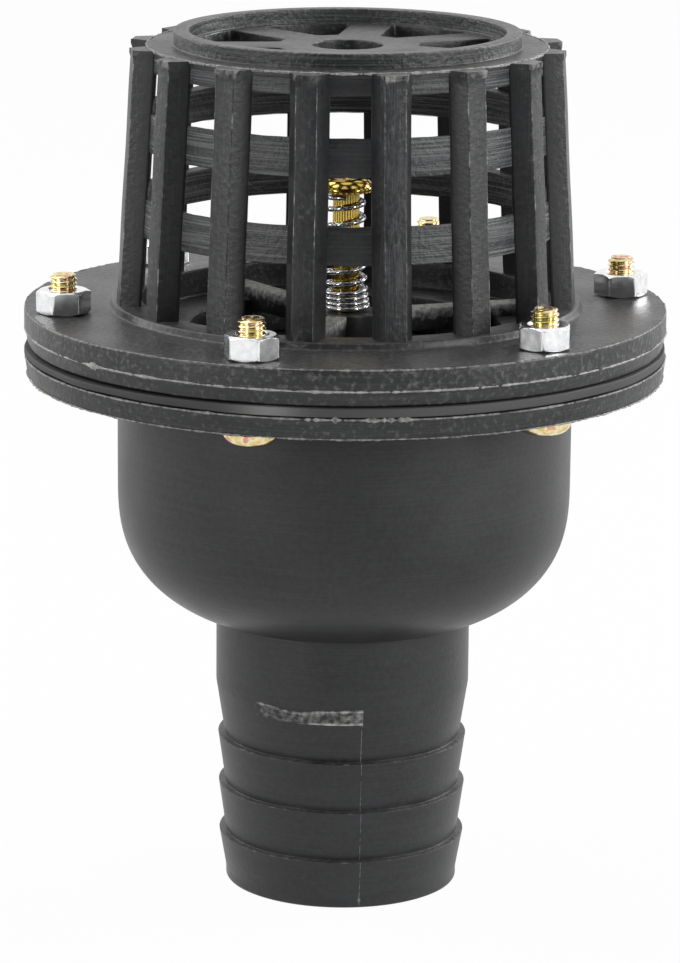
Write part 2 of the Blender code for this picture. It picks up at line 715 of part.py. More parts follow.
def make_stem_stack(zinc, bright_zinc, plastic, rubber):
    """Everything that lifts with the stem, parented to an empty on the slide's axis."""
    slide = bpy.data.objects.new("poppet_slide", None)
    slide.location = (0.0, 0.0, SEAT_Z)
    bpy.context.scene.collection.objects.link(slide)
    stack = [
        add_screw("stem_screw", zinc, STEM_RADIUS, STEM_HEAD_Z, STEM_END_Z, STEM_SEGMENTS),
        make_disc(plastic),
        make_pad(rubber),
        make_retainer(bright_zinc),
        make_washer(bright_zinc),
        place_mesh_at(nut_mesh("stem_thin_nut", THIN_NUT_HEIGHT, bright_zinc), THIN_NUT_Z),
        place_mesh_at(nut_mesh("stem_lock_nut", NUT_HEIGHT, bright_zinc), STEM_NUT_Z),
    ]
    bpy.context.view_layer.update()
    for item in stack:
        item.parent = slide
        item.matrix_parent_inverse = slide.matrix_world.inverted()


def main():
    clear_scene()
    black_plastic = make_material("black_moulded_plastic", (0.018, 0.018, 0.019), 0.45, 0.0)
    black_rubber = make_material("black_rubber", (0.012, 0.012, 0.012), 0.70, 0.0)
    yellow_zinc = make_material("yellow_passivated_zinc", (0.62, 0.42, 0.14), 0.28, 1.0)
    bright_zinc = make_material("bright_zinc", (0.62, 0.64, 0.67), 0.30, 1.0)
    spring_steel = make_material("spring_steel", (0.55, 0.55, 0.56), 0.25, 1.0)
    make_valve_body(black_plastic)
    make_gasket(black_rubber)
    make_basket(black_plastic)
    make_flange_fasteners(yellow_zinc, bright_zinc)
    make_stem_stack(yellow_zinc, bright_zinc, black_plastic, black_rubber)
    make_spring(spring_steel)


main()
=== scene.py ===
"""Moulded plastic foot valve, standing on its hose tail with the strainer basket on top.

Shapes are worked out in millimetres. An angle runs round the valve's axis from the front, which is -Y,
towards +X. Every fine piece is a grid of points: an outline carried round the axis or along a path.
"""

import math

import bmesh
import bpy
import numpy as np
from mathutils import Matrix, Vector


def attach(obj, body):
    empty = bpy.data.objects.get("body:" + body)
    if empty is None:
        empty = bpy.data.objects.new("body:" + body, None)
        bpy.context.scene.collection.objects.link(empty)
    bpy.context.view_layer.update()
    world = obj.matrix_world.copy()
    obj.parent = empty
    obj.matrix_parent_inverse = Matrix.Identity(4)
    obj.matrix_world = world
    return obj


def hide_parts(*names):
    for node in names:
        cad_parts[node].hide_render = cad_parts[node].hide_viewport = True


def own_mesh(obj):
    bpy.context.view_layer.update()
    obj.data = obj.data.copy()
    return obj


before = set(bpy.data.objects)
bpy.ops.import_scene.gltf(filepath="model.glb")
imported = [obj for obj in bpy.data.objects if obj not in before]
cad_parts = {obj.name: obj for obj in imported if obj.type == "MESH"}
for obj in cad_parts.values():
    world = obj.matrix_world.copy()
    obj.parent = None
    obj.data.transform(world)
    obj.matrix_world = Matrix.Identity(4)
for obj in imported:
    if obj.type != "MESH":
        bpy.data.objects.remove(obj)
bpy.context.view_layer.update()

MM = 0.001
TURN = 2.0 * np.pi

# Heights in millimetres
BODY_FLANGE = (112.2, 116.5)
GASKET = (116.8, 118.7)
BASKET_FLANGE = (119.0, 126.6)
FLASH_Z = 122.1
SILL_Z = 128.2
FLOOR_Z = 122.3
SEAT_Z = 114.5
BANDS = ((142.85, 150.95), (160.75, 168.85))
RIM_Z = 177.25
LID_Z = 181.9
LID_UNDER = 179.3
RING_Z = 185.0
HUB_Z = 125.2
STRANDS = (126.05, 127.15, 128.25, 129.35, 131.55, 134.1, 137.4, 140.9, 144.3, 147.8, 150.05)
BARB_LIPS = (10.7, 21.6, 32.5)
STEM_HEAD_Z = 150.9
STEM_THREAD_Z = 120.0
STEM_END_Z = 95.3
COLLAR_Z = 44.3
BOWL_BASE_Z = 59.4
BOWL_SIDE_Z = 89.5
BOWL_RIM_Z = 92.0
SCREW_SEAT_Z = 111.9
SCREW_THREAD_Z = 124.0
SCREW_END_Z = 134.9
NUT_HEIGHT = 5.0

# Radii and widths in millimetres
TAIL_R = 25.0
TAIL_BORE_R = 21.0
LIP_REACH = 1.5
COLLAR_R = 27.25
BOWL_R = 48.4
BOWL_INNER_R = 45.0
FLANGE_R = 68.0
FLANGE_WALL_R = 67.0
BOLT_CIRCLE = 60.4
SILL_R = 49.6
RIB_BASE_R = 48.9
FLOOR_R = 43.3
WEDGE = 3.8
BAND_WALL = 2.2
RING_R = (33.3, 36.5)
LID_HOLE = 7.4
LID_HUB_R = 11.5
LID_PLATE_R = 32.9
SEAT_R = 33.0
STEM_R = 2.9
STEM_HOLE_R = 3.2
HEAD_R = 5.8
NUT_FLATS = 10.2
WIRE_R = 0.55
SPRING_FOOT_R = 4.3

# Angles in degrees
RIB_ANGLES = 12.2 + 22.5 * np.arange(16)
BOLT_ANGLES = -78.0 + 60.0 * np.arange(6)
NUT_TURNS = (39.3, 13.2, 56.4, 31.5, 8.0, 20.0)
ARM_ANGLES = (109.0, 215.0, 344.0)
SEAM_ANGLE = 9.2
SPOKE_PHASE = 170.6
WINDOWS = 7


def ring_points(radius, height, angle):
    """Points (r sin a, -r cos a, z) for radii, heights and angles in radians, as whole arrays."""
    radius, height, angle = np.broadcast_arrays(radius, height, angle)
    return np.stack([radius * np.sin(angle), -radius * np.cos(angle), height], axis=-1)


def ripple(angle, seed, low, high, size):
    """Even unevenness round the axis: the sum of size * c_k cos(k a + p_k) for whole k from low to high."""
    draw = np.random.default_rng(seed)
    count = np.arange(low, high + 1)
    phase = draw.uniform(0.0, TURN, len(count))
    weight = draw.uniform(0.4, 1.0, len(count)) / math.sqrt(len(count))
    return size * np.sum(weight * np.cos(np.asarray(angle)[..., None] * count + phase), axis=-1)


def rounded(corners, steps=5, closed=True):
    """Outline with each corner (r, z, d) eased by a quadratic curve that runs from d before it to d past it."""
    corners = np.array(corners, dtype=float)
    point = corners[:, :2]
    back = np.roll(point, 1, axis=0) - point
    ahead = np.roll(point, -1, axis=0) - point

    def eased(way):
        length = np.maximum(np.linalg.norm(way, axis=1, keepdims=True), 1e-9)
        return point + way * np.minimum(corners[:, 2:3] / length, 0.5)

    start, end = eased(back)[:, None], eased(ahead)[:, None]
    t = np.linspace(0.0, 1.0, steps)[None, :, None]
    curve = (1 - t) ** 2 * start + 2 * t * (1 - t) * point[:, None] + t ** 2 * end
    if not closed:
        curve[0], curve[-1] = point[0], point[-1]
    return curve.reshape(-1, 2)


def stepped(outline, spacing, closed=True):
    """The same outline with points added so that no step is longer than the spacing."""
    path = np.vstack([outline, outline[:1]]) if closed else outline
    along = np.concatenate([[0.0], np.cumsum(np.linalg.norm(np.diff(path, axis=0), axis=1))])
    stops = np.union1d(along[:-1] if closed else along, np.arange(0.0, along[-1], spacing))
    keep = np.concatenate([[True], np.diff(stops) > 0.02])
    stops = stops[keep]
    return np.stack([np.interp(stops, along, path[:, k]) for k in (0, 1)], axis=1)


def shell(points, rows_closed=False, columns_closed=True):
    """Quads between the rows and columns of a grid of points, as (points, faces, marks) with no marks yet."""
    rows, columns = points.shape[:2]
    number = np.arange(rows * columns).reshape(rows, columns)
    if rows_closed:
        number = np.vstack([number, number[:1]])
    if columns_closed:
        number = np.hstack([number, number[:, :1]])
    quads = np.stack([number[:-1, :-1], number[:-1, 1:], number[1:, 1:], number[1:, :-1]], axis=-1)
    return points.reshape(-1, 3), quads.reshape(-1, 4), np.zeros((rows * columns, 3))


def marked(part, around=0.0, upright=0.0, pale=0.0):
    """The shell with its shares of scratches round the part, scratches up it and pale plastic; in places these shares
    hold painted shade and painted sheen.

    Each share is a number, an array with one value per point, or a function of radius, height and angle.
    """
    points, faces, _ = part
    radius, angle = np.hypot(points[:, 0], points[:, 1]), np.arctan2(points[:, 0], -points[:, 1])
    shares = [share(radius, points[:, 2], angle) if callable(share) else share for share in (around, upright, pale)]
    columns = [np.broadcast_to(np.ravel(share), len(points)) for share in shares]
    return points, faces, np.clip(np.stack(columns, axis=1), 0.0, 1.0)


def turned(outline, columns, change=None, closed=True, start=0.0):
    """Outline of (r, z) carried once round the axis; change(r, z, a) may move r and z at each angle."""
    angle = start + np.linspace(0.0, TURN, columns, endpoint=False)[None, :]
    radius = outline[:, :1] + 0.0 * angle
    height = outline[:, 1:] + 0.0 * angle
    angle = angle + 0.0 * radius
    if change is not None:
        radius, height = change(radius, height, angle)
    return shell(ring_points(radius, height, angle), rows_closed=closed)


def tube(path, outward, radius, sides=12):
    """Round wire: circles about each path point, of one radius or of one each, in the plane of outward and +Z."""
    turn = np.linspace(0.0, TURN, sides, endpoint=False)[None, :, None]
    along = np.gradient(path, axis=0)
    along /= np.linalg.norm(along, axis=1, keepdims=True)
    lift = np.cross(along, outward)
    lift /= np.linalg.norm(lift, axis=1, keepdims=True)
    size = np.broadcast_to(radius, len(path))[:, None, None]
    rings = path[:, None] + size * (np.cos(turn) * outward[:, None] + np.sin(turn) * lift[:, None])
    ends = [np.repeat(path[k][None, None], sides, axis=1) for k in (0, -1)]
    return shell(np.concatenate([ends[0], rings, ends[1]]))


def capped(grid):
    """Close a grid of rings by shrinking a copy of its first and last ring to their middles."""
    low = np.repeat(grid[:1].mean(axis=1, keepdims=True), grid.shape[1], axis=1)
    high = np.repeat(grid[-1:].mean(axis=1, keepdims=True), grid.shape[1], axis=1)
    return shell(np.concatenate([low, grid, high]))


def moved(part, turn=0.0, place=(0.0, 0.0, 0.0)):
    """A shell turned by degrees about +Z and then shifted."""
    points, faces, marks = part
    c, s = math.cos(math.radians(turn)), math.sin(math.radians(turn))
    matrix = np.array([[c, -s, 0.0], [s, c, 0.0], [0.0, 0.0, 1.0]])
    return points @ matrix.T + np.array(place), faces, marks


def flash(path, outward, across, width, reach, closed=False):
    """Low ridge of torn plastic along a path: each point has its own width and its own reach outwards."""
    section = np.array([(-0.5, -1.0), (-0.34, 0.5), (-0.1, 1.0), (0.3, 0.7), (0.5, -1.0)])
    wide = section[:, 0] * width[:, None]
    proud = np.where(section[:, 1] < 0.0, -0.1, section[:, 1] * reach[:, None])
    grid = path[:, None] + wide[..., None] * across[:, None] + proud[..., None] * outward[:, None]
    return shell(grid, rows_closed=True) if closed else capped(grid)


def flash_ring(radius, height, seed, size, lean=(1.0, 0.0), width=0.45, lumps=(), pale=0.75):
    """Flash round an edge that leans out along (r, z): its reach is ragged, with lumps at (degrees, spread, gain)."""
    angle = np.linspace(0.0, TURN, 960, endpoint=False)
    reach = np.clip(0.55 + ripple(angle, seed, 12, 60, 0.5) + ripple(angle, seed + 1, 80, 330, 0.45), 0.12, 1.3)
    wide = width * (0.6 + 0.5 * reach)
    for degrees, spread, gain in lumps:
        way = (angle - math.radians(degrees) + np.pi) % TURN - np.pi
        lump = np.exp(-(way / math.radians(spread)) ** 4)
        torn = np.clip(0.6 + ripple(angle, seed + 2, 120, 420, 0.55), 0.1, 1.2)
        reach = np.maximum(reach, 1.25 * lump * torn)
        wide = wide + gain * lump * torn
    around = ring_points(radius, height, angle)
    rise = np.array([0.0, 0.0, 1.0])
    outward = ring_points(lean[0], 0.0, angle) + lean[1] * rise
    across = ring_points(-lean[1], 0.0, angle) + lean[0] * rise
    return marked(flash(around, outward, across, wide, size * reach, closed=True), pale=pale)


def spot(radius, degrees, height=0.0):
    """One place at a radius and an angle in degrees."""
    return tuple(ring_points(radius, height, math.radians(degrees)))


def add_piece(name, parts, material, body, node, sharp=38.0):
    """Join shells into one closed mesh that faces out, and hang it on its body in place of its CAD node."""
    sizes = np.cumsum([0] + [len(part[0]) for part in parts])
    points = np.vstack([part[0] for part in parts])
    faces = np.vstack([part[1] + first for part, first in zip(parts, sizes)])
    marks = np.vstack([part[2] for part in parts])
    mesh = bpy.data.meshes.new(name)
    mesh.from_pydata((points * MM).tolist(), [], faces.tolist())
    if marks.any():
        layer = mesh.attributes.new("marks", "FLOAT_VECTOR", "POINT")
        layer.data.foreach_set("vector", marks.astype(np.float32).ravel())
    shape = bmesh.new()
    shape.from_mesh(mesh)
    bmesh.ops.remove_doubles(shape, verts=shape.verts, dist=2e-6)
    bmesh.ops.recalc_face_normals(shape, faces=shape.faces)
    shape.to_mesh(mesh)
    shape.free()
    mesh.shade_smooth()
    mesh.set_sharp_from_angle(angle=math.radians(sharp))
    mesh.materials.append(material)
    piece = bpy.data.objects.new(name, mesh)
    bpy.context.scene.collection.objects.link(piece)
    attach(piece, body)
    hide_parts(node)
    return piece


# Materials


def srgb(code):
    """Linear colour with full alpha from an sRGB hex code."""
    parts = [int(code[k:k + 2], 16) / 255.0 for k in (1, 3, 5)]
    return (*[v / 12.92 if v <= 0.04045 else ((v + 0.055) / 1.055) ** 2.4 for v in parts], 1.0)


def add_node(tree, kind, inputs=None, **settings):
    """Add a node with its settings; inputs are values, or the sockets that feed them."""
    made = tree.nodes.new(kind)
    for name, value in settings.items():
        setattr(made, name, value)
    for key, value in (inputs or {}).items():
        if isinstance(value, bpy.types.NodeSocket):
            tree.links.new(value, made.inputs[key])
        else:
            made.inputs[key].default_value = value
    return made


def new_material(name):
    """An empty material with its Principled shader and its object coordinates."""
    material = bpy.data.materials.new(name)
    material.use_nodes = True
    tree = material.node_tree
    shader = tree.nodes["Principled BSDF"]
    place = add_node(tree, "ShaderNodeTexCoord").outputs["Object"]
    return material, tree, shader, place


def noise_share(tree, place, size, low=0.0, high=1.0, detail=3.0):
    """Share from 0 to 1 as a noise goes from low to high; its grain is given in millimetres along x, y and z."""
    scale = tuple(1.0 / (MM * length) for length in size)
    fitted = add_node(tree, "ShaderNodeMapping", {"Vector": place, "Scale": scale}).outputs["Vector"]
    value = add_node(tree, "ShaderNodeTexNoise", {"Vector": fitted, "Scale": 1.0, "Detail": detail}).outputs["Fac"]
    return add_node(tree, "ShaderNodeMapRange", {"Value": value, "From Min": low, "From Max": high}).outputs["Result"]


def mix_colour(tree, share, first, second):
    """Colour between two, each a hex code or a socket."""
    ends = [srgb(end) if isinstance(end, str) else end for end in (first, second)]
    return add_node(tree, "ShaderNodeMix", {"Factor": share, 6: ends[0], 7: ends[1]}, data_type="RGBA").outputs[2]


def sum_up(tree, operation, *values):
    """Result of one arithmetic node."""
    return add_node(tree, "ShaderNodeMath", dict(enumerate(values)), operation=operation).outputs[0]


def finish_surface(tree, shader, colour, rough, heights):
    """Join colour, roughness and bumps, given as (height, strength, depth in millimetres), to the shader."""
    normal = None
    for height, strength, depth in heights:
        inputs = {"Height": height, "Strength": strength, "Distance": depth * MM}
        if normal is not None:
            inputs["Normal"] = normal
        normal = add_node(tree, "ShaderNodeBump", inputs).outputs["Normal"]
    tree.links.new(colour, shader.inputs["Base Color"])
    tree.links.new(rough, shader.inputs["Roughness"])
    tree.links.new(normal, shader.inputs["Normal"])


def moulded_polypropylene():
    """Black polypropylene, injection moulded: a satin skin, scratched grey along the tool's marks, pale where flash
    was trimmed, with a little dust on what faces up, and in places painted shade and painted sheen carried by the same
    marks."""
    material, tree, shader, place = new_material("moulded_black_polypropylene")
    marks = add_node(tree, "ShaderNodeAttribute", attribute_name="marks").outputs["Vector"]
    around, upright, pale = add_node(tree, "ShaderNodeSeparateXYZ", {"Vector": marks}).outputs
    # Cloudy tone where the melt cooled unevenly, about 14 mm across
    cloud = noise_share(tree, place, (14.0, 14.0, 14.0), 0.3, 0.7)
    # Tool marks under half a millimetre apart that run round, and others that run up the ribs
    level_lines = noise_share(tree, place, (24.0, 24.0, 0.3), 0.44, 0.70, 4.0)
    upright_lines = noise_share(tree, place, (0.3, 0.3, 26.0), 0.46, 0.78, 3.0)
    # Moulded grain of 0.4 mm, and specks of 1.1 mm
    grain = noise_share(tree, place, (0.4, 0.4, 0.4))
    speck = noise_share(tree, place, (1.1, 1.1, 1.1), 0.34, 0.74, 6.0)
    facing = add_node(tree, "ShaderNodeNewGeometry").outputs["Normal"]
    up = add_node(tree, "ShaderNodeSeparateXYZ", {"Vector": facing}).outputs["Z"]
    raised = add_node(tree, "ShaderNodeMapRange", {"Value": up, "From Min": 0.3, "From Max": 0.95}).outputs["Result"]
    settled = sum_up(tree, "MULTIPLY", sum_up(tree, "MULTIPLY_ADD", speck, 0.15, 0.05), raised)
    level_cut = sum_up(tree, "MULTIPLY", level_lines, around)
    cut = sum_up(tree, "MULTIPLY_ADD", upright_lines, upright, level_cut)
    # Worked tone and cut lines follow the scratch shares, which also hold painted shade on the bands, the rim and the
    # ribs' sides, and a painted highlight on the first rib.
    worked = sum_up(tree, "MULTIPLY_ADD", upright, 0.4, sum_up(tree, "MULTIPLY", around, 0.8))
    torn = sum_up(tree, "MULTIPLY_ADD", pale, 1.6, sum_up(tree, "SUBTRACT", speck, 1.0))
    torn = add_node(tree, "ShaderNodeMapRange", {"Value": torn, "From Max": 1.1}).outputs["Result"]
    # Pale where flash was trimmed, and as a painted sheen on the lid's top and the bridge's arms.
    scraped_and_painted_sheen = sum_up(tree, "MULTIPLY", sum_up(tree, "MULTIPLY_ADD", pale, 0.9, 0.1), torn)
    tone = mix_colour(tree, cloud, "#0c0d0f", "#1e1f21")
    blemish = sum_up(tree, "MULTIPLY", sum_up(tree, "MULTIPLY_ADD", upright, 1.6, 0.3), speck)
    tone = mix_colour(tree, blemish, tone, "#38393b")
    tone = mix_colour(tree, worked, tone, "#303133")
    tone = mix_colour(tree, cut, tone, "#7a7b7c")
    tone = mix_colour(tree, settled, tone, "#9b9a96")
    tone = mix_colour(tree, scraped_and_painted_sheen, tone, "#b6b6b3")
    rough = add_node(tree, "ShaderNodeMapRange", {"Value": cloud, "To Min": 0.36, "To Max": 0.46}).outputs["Result"]
    rough = sum_up(tree, "MULTIPLY_ADD", cut, 0.18, rough)
    rough = sum_up(tree, "MULTIPLY_ADD", scraped_and_painted_sheen, 0.3, rough)
    rugged = sum_up(tree, "ADD", sum_up(tree, "ADD", around, upright), pale)
    coarse = sum_up(tree, "MULTIPLY_ADD", rugged, 0.65, 0.06)
    finish_surface(tree, shader, tone, rough, [(grain, 0.25, 0.04), (speck, coarse, 0.2), (cut, 0.5, 0.05)])
    shader.inputs["IOR"].default_value = 1.49
    shader.inputs["Specular IOR Level"].default_value = 0.46
    return material


def sheet_rubber():
    """Black rubber sheet with a cut edge: matt and slightly grey, with a painted sheen and less roughness in a few
    places.
    """
    material, tree, shader, place = new_material("cut_black_rubber_sheet")
    marks = add_node(tree, "ShaderNodeAttribute", attribute_name="marks").outputs["Vector"]
    pale = add_node(tree, "ShaderNodeSeparateXYZ", {"Vector": marks}).outputs["Z"]
    grain = noise_share(tree, place, (0.7, 0.7, 0.7))
    tone = mix_colour(tree, grain, "#151516", "#29292a")
    # Lighter where marked pale, as a painted sheen.
    tone = mix_colour(tree, pale, tone, "#8a8a89")
    rough = add_node(tree, "ShaderNodeMapRange", {"Value": pale, "To Min": 0.72, "To Max": 0.45}).outputs["Result"]
    finish_surface(tree, shader, tone, rough, [(grain, 0.5, 0.06)])
    return material


def yellow_zinc(name, tints):
    """Steel with yellow passivated zinc plate: five tints, green to pink, each a few millimetres across."""
    material, tree, shader, place = new_material(name)
    tint = noise_share(tree, place, (2.2, 2.2, 2.2), 0.3, 0.7, 2.0)
    ramp = add_node(tree, "ShaderNodeValToRGB", {"Fac": tint})
    stops = ramp.color_ramp.elements
    stops[0].color, stops[1].color = srgb(tints[0]), srgb(tints[4])
    for position, code in zip((0.3, 0.6, 0.82), tints[1:4]):
        stops.new(position).color = srgb(code)
    grain = noise_share(tree, place, (0.55, 0.55, 0.55))
    rough = add_node(tree, "ShaderNodeMapRange", {"Value": grain, "To Min": 0.1, "To Max": 0.24}).outputs["Result"]
    finish_surface(tree, shader, ramp.outputs["Color"], rough, [(grain, 0.04, 0.03)])
    shader.inputs["Metallic"].default_value = 1.0
    return material


def bright_plated(name, dark, light, low, high):
    """Steel with bright zinc plate, or drawn wire: nearly white metal with fine grey variation."""
    material, tree, shader, place = new_material(name)
    grain = noise_share(tree, place, (1.6, 1.6, 1.6), 0.25, 0.75, 2.0)
    tone = mix_colour(tree, grain, dark, light)
    rough = add_node(tree, "ShaderNodeMapRange", {"Value": grain, "To Min": low, "To Max": high}).outputs["Result"]
    finish_surface(tree, shader, tone, rough, [(grain, 0.04, 0.03)])
    shader.inputs["Metallic"].default_value = 1.0
    return material


# The lower moulding: hose tail, bowl and flange


def tail_outline():
    """Barbs: ramps that widen to a crisp lip and step straight back in, then the last ramp up to the collar."""
    corners = [(TAIL_R - 0.4, 0.0, 0.1), (TAIL_R, 0.4, 0.3), (TAIL_R, 2.2, 0.5)]
    for index, lip in enumerate(BARB_LIPS):
        root = TAIL_R + 0.15 * index
        corners += [
            (root + LIP_REACH - 0.06, lip - 0.3, 0.1), (root + LIP_REACH, lip, 0.1), (root + 0.1, lip + 0.15, 0.12),
        ]
    corners += [(COLLAR_R, COLLAR_Z, 0.5), (COLLAR_R, BOWL_BASE_Z - 1.4, 0.0)]
    return stepped(rounded(corners, closed=False), 1.2, closed=False)


def bowl_outline(inner, outer, base, top, rows):
    """Superellipse quarter from the narrow neck out to the upright side, even in its own turn."""
    turn = np.linspace(np.pi / 2, 0.0, rows)
    out = np.clip(np.cos(turn), 0.0, 1.0) ** (2.0 / 1.354)
    down = np.clip(np.sin(turn), 0.0, 1.0) ** (2.0 / 2.934)
    return np.stack([inner + (outer - inner) * out, top - (top - base) * down], axis=1)


def seam():
    """Parting line up the front of the tail: a fine ridge that follows the barbs, with a pip near its foot."""
    outline = tail_outline()
    height = np.linspace(0.6, 41.5, 420)
    radius = np.interp(height, outline[:, 1], outline[:, 0])
    angle = math.radians(SEAM_ANGLE)
    broken = np.clip(0.4 + ripple(height / 41.5 * TURN, 15, 6, 70, 0.5), 0.02, 1.0)
    pip = np.exp(-((height - 1.7) / 0.45) ** 4)
    outward = ring_points(np.ones(len(height)), 0.0, angle)
    across = ring_points(np.ones(len(height)), 0.0, angle + np.pi / 2)
    path = ring_points(radius, height, angle)
    return marked(flash(path, outward, across, 0.2 + 0.6 * pip, 0.07 * broken + 0.1 * pip), pale=0.62)


def scrape():
    """Scraped patch beside the seam: two torn streaks that fade to the left, just proud of the surface."""
    outline = tail_outline()
    angle = np.radians(np.linspace(-49.0, SEAM_ANGLE + 0.4, 150))[:, None]
    level = np.linspace(0.0, 1.0, 40)[None, :]
    height = 40.7 + 4.2 * level + 0.0 * angle
    surface = np.interp(height, outline[:, 1], outline[:, 0])
    outer = ring_points(surface + 0.06 * np.sin(np.pi * level) - 0.01, height, angle)
    inner = ring_points(surface[:, ::-13] - 0.4, height[:, ::-13], angle)

    def torn(radius, height, angle):
        degrees = np.degrees(angle)
        along = np.clip((degrees + 48.0) / 9.0, 0.0, 1.0)
        brush = 0.6 + ripple(height * 1.3, 51, 4, 40, 0.35) + 0.2 * np.sin(degrees * 0.9)
        crest = 44.3 - 0.8 * np.exp(-((degrees + 22.0) / 12.0) ** 2)
        upper = 0.55 * np.exp(-((height - crest) / 0.35) ** 2)
        lower = 0.8 * np.exp(-((height - 41.3) / 0.3) ** 2) * (degrees > -18.0 + 5.0 * np.sin(height * 9.0))
        middle = 0.22 * (height > 41.3) * (height < crest) * np.clip((degrees + 40.0) / 20.0, 0.0, 1.0)
        patch = 0.42 * (height > 41.1) * (height < crest + 0.3)
        return along * (patch + 0.8 * (np.maximum(upper, lower) + middle) * np.clip(brush, 0.4, 1.0))

    return marked(capped(np.concatenate([outer, inner], axis=1)), pale=torn)


def lower_moulding(material):
    """Tail, bowl and flange as one closed outline turned round the axis, with its flash, seam and scrape."""
    flange = rounded([
        (BOWL_R, BOWL_RIM_Z, 0.0), (BOWL_R, BODY_FLANGE[0], 1.6), (FLANGE_R - 0.5, BODY_FLANGE[0], 0.5),
        (FLANGE_R, BODY_FLANGE[1] - 0.5, 0.2), (FLANGE_R, BODY_FLANGE[1], 0.15),
        (BOWL_INNER_R, BODY_FLANGE[1], 0.4), (BOWL_INNER_R, BOWL_RIM_Z, 0.0),
    ], closed=False)
    inside = bowl_outline(TAIL_BORE_R, BOWL_INNER_R, BOWL_BASE_Z + 3.4, BOWL_SIDE_Z, 24)[::-1]
    end = rounded([
        (TAIL_BORE_R, 50.0, 0.0), (TAIL_BORE_R, 0.0, 0.5), (TAIL_R - 0.6, 0.0, 0.2),
    ], closed=False)
    outline = np.vstack([
        tail_outline()[1:],
        bowl_outline(COLLAR_R, BOWL_R, BOWL_BASE_Z, BOWL_SIDE_Z, 40),
        stepped(flange, 3.0, closed=False),
        inside,
        end,
    ])

    def uneven(radius, height, angle):
        wall = (radius > FLANGE_WALL_R) * 1.0
        return radius + wall * np.clip(ripple(angle, 12, 8, 120, 0.07), -0.2, 0.1), height

    def worn_lips(radius, height, angle):
        lip = np.min([np.abs(height - lip) for lip in BARB_LIPS], axis=0)
        chipped = np.clip(0.12 + ripple(angle, 13, 5, 60, 0.4), 0.0, 0.46)
        return chipped * (lip < 0.2) * (radius > 26.0) + 0.27 * (radius > FLANGE_WALL_R) + 0.06 * (height < 58.0)

    clots = [
        (-5.0, 1.5, 0.7), (-1.6, 0.8, 1.1), (4.9, 1.2, 1.0), (7.4, 0.9, 0.8), (10.2, 1.4, 0.9), (-24.0, 0.7, 0.4),
    ]
    return add_piece("body_moulding", [
        marked(turned(outline, 256, uneven), around=lambda r, z, a: 0.04 + 0.06 * (r > FLANGE_WALL_R), pale=worn_lips),
        flash_ring(FLANGE_R - 0.04, BODY_FLANGE[1] - 0.15, 61, 0.23, lumps=clots, pale=0.75),
        flash_ring(FLANGE_R - 0.45, BODY_FLANGE[0] + 0.1, 64, 0.25, lean=(0.8, -0.6), width=0.35, pale=0.7),
        seam(),
        scrape(),
    ], material, "housing", "valve_body")


# The upper moulding: flange with the seat, ribs, bands, lid and bridge


def rib_radius(height):
    """Radius of the ribs' outer faces: the basket narrows evenly towards its lid."""
    return RIB_BASE_R - 3.2 * (np.asarray(height) - SILL_Z) / (LID_Z - SILL_Z)


def basket_flange():
    """Flange with its flash line, the sill under the ribs, the floor and the seat's lip."""
    outline = stepped(rounded([
        (FLANGE_R - 0.7, BASKET_FLANGE[0], 0.3), (FLANGE_R - 0.25, FLASH_Z - 0.5, 0.1), (FLANGE_R, FLASH_Z, 0.1),
        (FLANGE_R, BASKET_FLANGE[1], 0.5), (SILL_R + 0.5, BASKET_FLANGE[1], 0.5), (SILL_R, SILL_Z, 0.35),
        (FLOOR_R, SILL_Z, 0.4), (FLOOR_R, FLOOR_Z, 0.6), (SEAT_R, FLOOR_Z, 0.4), (SEAT_R, SEAT_Z, 0.4),
        (SEAT_R + 3.0, SEAT_Z, 0.4), (SEAT_R + 3.75, BASKET_FLANGE[0], 0.3),
    ]), 3.0)

    def change(radius, height, angle):
        rim = (radius > 66.5) * (height > 125.5)
        wall = (radius > 67.3) * np.clip(ripple(angle, 7, 10, 120, 0.09), -0.25, 0.12)
        return radius + wall, height + rim * np.clip(ripple(angle, 6, 10, 70, 0.10), -0.05, 0.12)

    def rough_wall(radius, height, angle):
        return 0.03 * (radius > 66.5) * (height < BASKET_FLANGE[1] - 0.2)

    def wall_dust(radius, height, angle):
        return 0.28 + 0.05 * (radius > FLANGE_WALL_R) * (height > FLASH_Z)

    lumps = [(-49.0, 1.5, 1.4), (-36.0, 3.0, 0.3), (-3.0, 2.5, 0.25), (17.0, 2.0, 0.2), (38.0, 2.5, 0.25)]
    ring = turned(outline, 224, change)
    return [
        marked(ring, around=lambda r, z, a: 0.08 * (r > 67.3), upright=rough_wall, pale=wall_dust),
        flash_ring(FLANGE_R - 0.06, FLASH_Z, 71, 0.28, width=0.6, lumps=lumps, pale=0.9),
        flash_ring(FLANGE_R - 0.12, BASKET_FLANGE[1] - 0.1, 74, 0.2, lean=(0.6, 0.8), width=0.4, pale=0.7),
    ]


